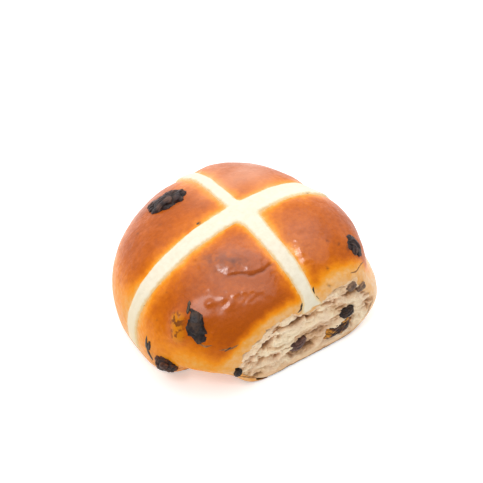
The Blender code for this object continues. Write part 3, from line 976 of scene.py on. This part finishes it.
PALE_FOOT_LEVEL = 0.05
PALE_FOOT_GAIN = 1.2
GLAZE_GAP_BEARING = math.radians(-118)
GLAZE_GAP_TURN = 1.5
GLAZE_TOP = (0.026, 0.034)
GLAZE = 0.30
GLAZE_ROUND_FOOT = 0.30
GLAZE_FRONT_LESS = 0.28
GLAZE_ON_FOLDS = 0.75
GLAZE_LEAST = 0.02
# Painted sheen: a whitish pink reflection painted into the back lobe's colour
BLOOM = (75, 52)
BLOOM_REACH = 0.015
BLOOM_SHARE = 0.9
BLOOM_WAVES = (0.5, 0.008)
SPECK_STIR = 0.0006
SPECK_STIR_SIZE = 0.0015

CRUST_STOPS = [
    (0.00, (0.82, 0.55, 0.32)),
    (0.12, (0.82, 0.45, 0.17)),
    (0.25, (0.82, 0.345, 0.045)),
    (0.40, (0.84, 0.270, 0.004)),
    (0.55, (0.74, 0.200, 0.002)),
    (0.70, (0.61, 0.142, 0.001)),
    (0.85, (0.52, 0.108, 0.001)),
    (1.00, (0.41, 0.078, 0.001)),
]
# colour of the painted reflection on the back lobe
BLOOM_TINT = (0.78, 0.40, 0.27)
PATCH_TINT = (0.20, 0.050, 0.022)
# painted shade along the crease
CREASE_TINT = (0.20, 0.035, 0.004)
FILM_DOUGH = (0.70, 0.25, 0.004)
FILM_OLIVE = (0.10, 0.045, 0.008)
# colour of the painted shade under the tuck
STAIN_TINT = (0.36, 0.16, 0.05)
SPECK_TINT = (0.13, 0.030, 0.010)
FOOT_TINT = (0.30, 0.13, 0.045)
CRUST_COAT_ROUGHNESS = 0.21
CRUST_SPECULAR = 0.10
CRUST_BUMP = 0.00024

# crumb colour by depth: painted shade in the hollows and pits, paler on the raised strands
CRUMB_STOPS = [
    (0.00, (0.12, 0.05, 0.020)),
    (0.25, (0.34, 0.17, 0.070)),
    (0.50, (0.66, 0.39, 0.19)),
    (0.72, (0.87, 0.61, 0.37)),
    (1.00, (0.98, 0.81, 0.57)),
]
CRUMB_DEPTHS = (-0.0030, 0.0010)  # where the ramp begins and ends
CRUMB_FLECK = 0.00035
CRUMB_ROSY = (0.80, 0.50, 0.35)
CRUMB_SKIN_TINT = (0.88, 0.55, 0.28)
CRUMB_FOOT_TINT = (0.30, 0.14, 0.05)
CRUMB_SPECULAR = 0.2
CRUMB_BUMP = 0.00028

FOLD_TINTS = ((0.20, 0.07, 0.010), (0.46, 0.18, 0.03))
# near black: fruit shreds, and the painted shade in the lip's cracks
SHRED_TINTS = ((0.018, 0.014, 0.006), (0.09, 0.045, 0.012))

PASTE_TINTS = ((0.79, 0.71, 0.55), (0.83, 0.76, 0.61))
PASTE_LOW_TINT = (0.80, 0.66, 0.42)
PASTE_EDGE_TINT = (0.80, 0.54, 0.20)
PASTE_EDGE_WIDTH = 0.0009
PASTE_SPECULAR = 0.3
PASTE_BUMP = 0.00012

# The furrows' darkness is painted shade.
RAISIN_LOOKS = {  # skin, hollows, glow where there is one, and darkness of the furrows
    "dark": ((0.018, 0.012, 0.013), (0.070, 0.036, 0.020), None, 0.85),
    "brown": ((0.060, 0.018, 0.006), (0.17, 0.055, 0.010), (0.66, 0.26, 0.015), 0.85),
    "purple": ((0.026, 0.012, 0.013), (0.12, 0.060, 0.042), None, 0.85),
    "plum": ((0.085, 0.036, 0.030), (0.25, 0.12, 0.085), None, 0.55),
    "russet": ((0.035, 0.010, 0.005), (0.15, 0.045, 0.012), None, 0.85),
    "soft": ((0.15, 0.085, 0.055), (0.36, 0.22, 0.13), None, 0.45),
}
RAISIN_KINDS = {  # the others are dark
    "raisin_left_shoulder": "purple",
    "raisin_right_shoulder": "purple",
    "raisin_foot_left": "russet",
    "raisin_torn_lower": "brown",
    "raisin_torn_middle": "plum",
    "raisin_torn_top_left": "soft",
    "raisin_torn_top_right": "soft",
}
# colour of the painted shade in the furrows
RAISIN_FURROW_TINT = (0.006, 0.003, 0.002)
RAISIN_SPECULAR = 0.30
RAISIN_BUMP = 0.00018


def crust_material():
    """Browned by the bake field, with a painted sheen on the back lobe, painted shade in the crease and
    under the tuck, patches and specks over it and a glaze as its coat.
    """
    material, tree, shader = new_material("baked_crust")
    wide = grain(tree, 0.009, 3.0)
    fine = grain(tree, 0.0016, 3.0)
    uneven = calc(tree, "ADD", attribute(tree, "bake"), span(tree, wide, 0.25, 0.75, -0.06, 0.06))
    uneven = calc(tree, "ADD", uneven, span(tree, fine, 0.3, 0.7, -0.05, 0.05))
    colour = ramp(tree, uneven, CRUST_STOPS)
    # painted reflection: a whitish sheen on the back lobe
    colour = tint(tree, colour, attribute(tree, "bloom"), 0.55, BLOOM_TINT)
    mottle = span(tree, grain(tree, 0.0024, 3.0), 0.38, 0.62, 0.35, 1.0)
    patch = calc(tree, "MULTIPLY", attribute(tree, "patch"), mottle)
    colour = tint(tree, colour, patch, 0.70, PATCH_TINT)
    # painted shade darkens the crease
    colour = tint(tree, colour, attribute(tree, "crease"), 0.55, CREASE_TINT)
    olive = blend(tree, span(tree, grain(tree, 0.0017, 3.0), 0.46, 0.58), FILM_DOUGH, FILM_OLIVE)
    colour = blend(tree, attribute(tree, "film"), colour, olive)
    # painted shade under the tuck, broken up by a cloudy grain
    cloudy = span(tree, grain(tree, 0.002, 3.0), 0.35, 0.6)
    stain = calc(tree, "MULTIPLY", attribute(tree, "stain"), cloudy)
    colour = tint(tree, colour, stain, 0.55, STAIN_TINT)
    colour = tint(tree, colour, attribute(tree, "speck"), 0.75, SPECK_TINT)
    colour = tint(tree, colour, attribute(tree, "foot"), 0.85, FOOT_TINT)
    feed(tree, shader.inputs["Base Color"], colour)
    feed(tree, shader.inputs["Roughness"], span(tree, fine, 0.3, 0.7, 0.40, 0.55))
    shader.inputs["Specular IOR Level"].default_value = CRUST_SPECULAR
    feed(tree, shader.inputs["Coat Weight"], attribute(tree, "glaze"))
    shader.inputs["Coat Roughness"].default_value = CRUST_COAT_ROUGHNESS
    pores = calc(tree, "MULTIPLY", grain(tree, 0.0035, 2.0), 1.6)
    bump(tree, shader, calc(tree, "ADD", grain(tree, 0.0011, 2.0), pores), CRUST_BUMP)
    return material


def crumb_material():
    """Painted shade by depth: pale on the raised strands and darker in the hollows."""
    material, tree, shader = new_material("torn_crumb")
    fine = grain(tree, 0.0012, 4.0, 0.6)
    wide = grain(tree, 0.007, 2.0)
    flecks = span(tree, fine, 0.25, 0.75, -CRUMB_FLECK, CRUMB_FLECK)
    # depth sets the painted shade: dark in hollows and pits, pale on strands
    level = calc(tree, "ADD", attribute(tree, "depth"), flecks)
    colour = ramp(tree, span(tree, level, *CRUMB_DEPTHS), CRUMB_STOPS)
    colour = blend(tree, span(tree, wide, 0.35, 0.65, 0.0, 0.30), colour, CRUMB_ROSY)
    colour = blend(tree, attribute(tree, "skin"), colour, CRUMB_SKIN_TINT)
    colour = blend(tree, attribute(tree, "foot"), colour, CRUMB_FOOT_TINT)
    feed(tree, shader.inputs["Base Color"], colour)
    feed(tree, shader.inputs["Roughness"], span(tree, fine, 0.3, 0.7, 0.75, 0.9))
    shader.inputs["Specular IOR Level"].default_value = CRUMB_SPECULAR
    bump(tree, shader, grain(tree, 0.0007, 3.0, 0.6), CRUMB_BUMP)
    return material


def strand_material(name, size, limits, tints, roughness):
    """Two tints mixed by a grain of one size."""
    material, tree, shader = new_material(name)
    colour = blend(tree, span(tree, grain(tree, size, 2.0), *limits), *tints)
    feed(tree, shader.inputs["Base Color"], colour)
    shader.inputs["Roughness"].default_value = roughness
    return material


def paste_material():
    """Matte flour paste, toasted along its edges and creamier low down."""
    material, tree, shader = new_material("flour_paste")
    fine = grain(tree, 0.0014, 3.0)
    colour = blend(tree, span(tree, fine, 0.3, 0.7), *PASTE_TINTS)
    colour = tint(tree, colour, attribute(tree, "low"), 0.8, PASTE_LOW_TINT)
    wavy = span(tree, fine, 0.3, 0.7, -0.0002, 0.0002)
    edge = calc(tree, "ADD", attribute(tree, "inside"), wavy)
    colour = blend(tree, span(tree, edge, 0.0, PASTE_EDGE_WIDTH, 0.75, 0.0), colour, PASTE_EDGE_TINT)
    feed(tree, shader.inputs["Base Color"], colour)
    feed(tree, shader.inputs["Roughness"], span(tree, fine, 0.3, 0.7, 0.50, 0.65))
    shader.inputs["Specular IOR Level"].default_value = PASTE_SPECULAR
    bump(tree, shader, grain(tree, 0.0012, 2.0), PASTE_BUMP)
    return material


def raisin_material(kind):
    """Dried fruit of one kind, with painted shade in its furrows."""
    skin, hollow, glow, furrow_share = RAISIN_LOOKS[kind]
    material, tree, shader = new_material("raisin_" + kind)
    patch = grain(tree, 0.0022, 3.0)
    colour = blend(tree, span(tree, patch, 0.35, 0.7), skin, hollow)
    if glow:
        colour = blend(tree, span(tree, grain(tree, 0.0026, 2.0), 0.46, 0.60), colour, glow)
    colour = tint(tree, colour, attribute(tree, "furrow"), furrow_share, RAISIN_FURROW_TINT)
    feed(tree, shader.inputs["Base Color"], colour)
    feed(tree, shader.inputs["Roughness"], span(tree, patch, 0.3, 0.7, 0.38, 0.55))
    shader.inputs["Specular IOR Level"].default_value = RAISIN_SPECULAR
    bump(tree, shader, grain(tree, 0.0006, 3.0), RAISIN_BUMP)
    return material


def bake_level(points, to_cross, to_rim):
    """How brown the crust is: 0 is cream and 1 is the deepest red-brown."""
    x, y, z = points.T
    bearing = np.arctan2(y, x)
    front = hill(turned(bearing, FRONT_BEARING), FRONT_TURN)
    height = z + FRONT_DROP * front + swells(points, BAKE_WAVES, 63)
    rises = (BAKE_LOW, BAKE_HIGH)
    level = BAKE_LEAST + sum(rise * smoothstep(low, high, height) for rise, low, high in rises)
    level += swells(points, BAKE_PATCHES, 64) + FRONT_DEEPER * front
    uneven = 1 + swells(points, HALO_BROAD, 61) + swells(points, HALO_FINE, 62)
    level -= (level - HALO_LEVEL) * np.exp(-to_cross / (HALO_REACH * np.clip(uneven, *HALO_LIMITS)))
    right = smoothstep(RIM_RIGHT_FROM, RIM_RIGHT_TO, bearing)
    limits = zip(RIM_PALE_LEFT, RIM_PALE_RIGHT)
    pale_from, pale_to = (one + (other - one) * right for one, other in limits)
    pale = 1 - smoothstep(pale_from, pale_to, to_rim * (1 + swells(points, RIM_WAVES, 65)))
    level -= (level - RIM_LEVEL_LEFT - (RIM_LEVEL_RIGHT - RIM_LEVEL_LEFT) * right) * pale
    edge = hill(line_distance(points, BASE_EDGE), BASE_EDGE_REACH)
    level -= (level - BASE_EDGE_LEVEL) * BASE_EDGE_SHARE * edge
    foot = hill(turned(bearing, PALE_FOOT_BEARING), PALE_FOOT_TURN) * (1 - smoothstep(*PALE_FOOT_TOP, z))
    level -= (level - PALE_FOOT_LEVEL) * np.clip(foot * PALE_FOOT_GAIN, 0, 1)
    return np.clip(level, 0, 1)


def glaze_level(points):
    """How much glaze lies on the crust: little on the front and left below the shoulder."""
    bearing = np.arctan2(points[:, 1], points[:, 0])
    front = hill(turned(bearing, GLAZE_GAP_BEARING), GLAZE_GAP_TURN)
    low = 1 - smoothstep(*GLAZE_TOP, points[:, 2])
    level = GLAZE + GLAZE_ROUND_FOOT * (1 - front) * low - GLAZE_FRONT_LESS * front * low
    return np.clip(level + GLAZE_ON_FOLDS * folded_level(points), GLAZE_LEAST, 1)


def bloom_level(points):
    """Where a whitish sheen is painted on the back lobe: a painted reflection."""
    near = hill(spot_distance(points, *BLOOM), BLOOM_REACH)
    return np.clip(near * (BLOOM_SHARE + swells(points, BLOOM_WAVES, 71)), 0, 1)


def speck_level(points):
    """Where the small dark specks are."""
    level = np.zeros(len(points))
    wander = points + stir(points, SPECK_STIR, SPECK_STIR_SIZE, (81, 82, 83))
    for bearing, elevation, reach in SPECKS:
        level = np.maximum(level, hill(spot_distance(wander, bearing, elevation), reach))
    return level


def nearest(points, targets):
    """Distance from each point to the nearest of the targets."""
    tree = KDTree(len(targets))
    for i, target in enumerate(targets):
        tree.insert(target, i)
    tree.balance()
    return np.array([tree.find(point)[2] for point in points])


# Studio

CAMERA_AZIMUTH = math.radians(-34.0)
CAMERA_ELEVATION = math.radians(45.3)
CAMERA_DISTANCE = 0.4602
CAMERA_AIM = Vector((0.0035, 0.0129, 0.0126))  # in the design's frame
CAMERA_LENS = 100
SURROUND = 0.24
BACKDROP = 1.4
BACKDROP_HIGH = 0.45
BACKDROP_FROM = -0.1
BACKDROP_TO = 0.7
BACKDROP_FADE = (0.30, 0.75)
LIGHTS = [  # name, place, aim, size in metres and power in watts
    ("overhead", (0.04, 0.10, 0.75), (0, 0.02, 0), (1.3, 1.1), 6.6),
    ("key", (-0.42, -0.20, 0.75), (0, 0, 0.02), (0.20, 0.20), 1.9),
]
FLOOR_HALF = 4.0
FLOOR_DROP = 0.0001
FLOOR_TINT = (0.80, 0.82, 0.84)
FLOOR_GLOW = 0.40
FLOOR_ROUGHNESS = 0.9


def add_light(name, place, aim, size, power):
    lamp = bpy.data.lights.new(name, "AREA")
    lamp.shape = "RECTANGLE"
    lamp.size, lamp.size_y = size
    lamp.energy = power
    thing = bpy.data.objects.new(name, lamp)
    bpy.context.scene.collection.objects.link(thing)
    thing.location = place
    thing.rotation_euler = (Vector(aim) - Vector(place)).to_track_quat("-Z", "Y").to_euler()


def studio():
    """A pale surround that only the camera sees, a brighter backdrop, and soft lights above."""
    world = bpy.data.worlds.new("studio")
    bpy.context.scene.world = world
    world.use_nodes = True
    tree = world.node_tree
    surround = tree.nodes["Background"]
    path = tree.nodes.new("ShaderNodeLightPath")
    place = tree.nodes.new("ShaderNodeTexCoord")
    facing = tree.nodes.new("ShaderNodeVectorMath")
    facing.operation = "DOT_PRODUCT"
    facing.inputs[1].default_value = (-math.sin(CAMERA_AZIMUTH), math.cos(CAMERA_AZIMUTH), 0)
    tree.links.new(place.outputs["Generated"], facing.inputs[0])
    split = tree.nodes.new("ShaderNodeSeparateXYZ")
    tree.links.new(place.outputs["Generated"], split.inputs[0])
    behind = span(tree, facing.outputs["Value"], BACKDROP_FROM, BACKDROP_TO, 0.0, BACKDROP - SURROUND)
    low = span(tree, split.outputs["Z"], *BACKDROP_FADE, 1.0, BACKDROP_HIGH)
    unseen = calc(tree, "ADD", SURROUND, calc(tree, "MULTIPLY", behind, low))
    seen = calc(tree, "MAXIMUM", path.outputs["Is Camera Ray"], unseen)
    surround.inputs["Color"].default_value = (1, 1, 1, 1)
    tree.links.new(seen, surround.inputs["Strength"])
    for light in LIGHTS:
        add_light(*light)


def stage_floor():
    """A pale floor that glows a little, so that the bun's shadow on it is faint."""
    size = FLOOR_HALF
    data = bpy.data.meshes.new("floor")
    corners = [(-size, -size, 0), (size, -size, 0), (size, size, 0), (-size, size, 0)]
    data.from_pydata(corners, [], [(0, 1, 2, 3)])
    floor = bpy.data.objects.new("floor", data)
    bpy.context.scene.collection.objects.link(floor)
    floor.location.z = -FLOOR_DROP
    material, _, shader = new_material("floor")
    shader.inputs["Base Color"].default_value = (*FLOOR_TINT, 1)
    shader.inputs["Roughness"].default_value = FLOOR_ROUGHNESS
    shader.inputs["Emission Color"].default_value = (1, 1, 1, 1)
    shader.inputs["Emission Strength"].default_value = FLOOR_GLOW
    data.materials.append(material)


def add_camera():
    a, e = CAMERA_AZIMUTH, CAMERA_ELEVATION
    back = Vector((math.sin(a) * math.cos(e), -math.cos(a) * math.cos(e), math.sin(e)))
    data = bpy.data.cameras.new("camera")
    data.lens = CAMERA_LENS
    data.sensor_width = 36
    camera = bpy.data.objects.new("camera", data)
    bpy.context.scene.collection.objects.link(camera)
    camera.location = CAMERA_AIM + Vector(POLE) + back * CAMERA_DISTANCE
    camera.rotation_mode = "QUATERNION"
    camera.rotation_quaternion = (-back).to_track_quat("-Z", "Y")
    bpy.context.scene.camera = camera


# Pieces

CROSS_SAMPLE = 3  # every third point of the paste is near enough
RAISIN_SEED = 60
RAISIN_SEED_STEP = 12


def add_crust(points, quads, beyond, crease, paste_points):
    """The crust up to the tear, with the fields that its material reads."""
    rim = points[(np.abs(beyond) < RIM_HALF) & (points[:, 2] > RIM_LOW)]
    points, quads, crease = kept(points, quads, beyond < CRUST_PAST_TEAR, crease)
    film = hill(line_distance(points, FILM), FILM_REACH)
    make_piece(
        "crust", points, quads, crust_material(), "crust", ["bun"],
        bake=bake_level(points, nearest(points, paste_points[::CROSS_SAMPLE]), nearest(points, rim)),
        crease=crease,
        foot=1 - smoothstep(*FOOT_DARK, points[:, 2]),
        glaze=glaze_level(points),
        bloom=bloom_level(points),
        speck=speck_level(points),
        patch=hill(line_distance(points, DARK_PATCH), DARK_PATCH_REACH),
        film=smoothstep(*FILM_EDGE, film),
        stain=hill(line_distance(points, FOOT_STAINS), FOOT_STAIN_REACH),
    )


def add_crumb():
    points, quads, depth, inside = crumb_shape()
    foot = 1 - smoothstep(*CRUMB_FOOT_DARK, points[:, 2])
    low_skin = 1 - smoothstep(*CRUMB_SKIN_LOW, points[:, 2])
    skin = CRUMB_SKIN_SHARE * np.maximum(low_skin, 1 - smoothstep(*CRUMB_SKIN_RIM, inside))
    material = crumb_material()
    make_piece("crumb", points, quads, material, "crumb", ["bun"], depth=depth, foot=foot, skin=skin)


def main():
    add_camera()
    studio()
    stage_floor()
    bpy.context.scene.view_settings.view_transform = "Standard"
    points, quads, beyond, crease = crust_shape()
    surface = BVHTree.FromPolygons(points.tolist(), quads.tolist())
    add_crust(points, quads, beyond, crease, cross_piece(surface))
    add_crumb()
    # dark strands: fruit shreds, and painted shade in cracks
    shred = strand_material("fruit_shred", 0.0012, (0.35, 0.65), SHRED_TINTS, 0.5)
    fold = strand_material("crust_fold", 0.0015, (0.3, 0.7), FOLD_TINTS, 0.6)
    strands_piece("fruit_shreds", SHREDS, surface, shred, "raisin")
    strands_piece("crust_folds", FOLDS + BASE_LINE, surface, fold, "crust")
    looks = {kind: raisin_material(kind) for kind in RAISIN_LOOKS}
    for number, name in enumerate(RAISINS):
        look = looks[RAISIN_KINDS.get(name, "dark")]
        raisin_piece(name, surface, look, RAISIN_SEED + RAISIN_SEED_STEP * number)


main()
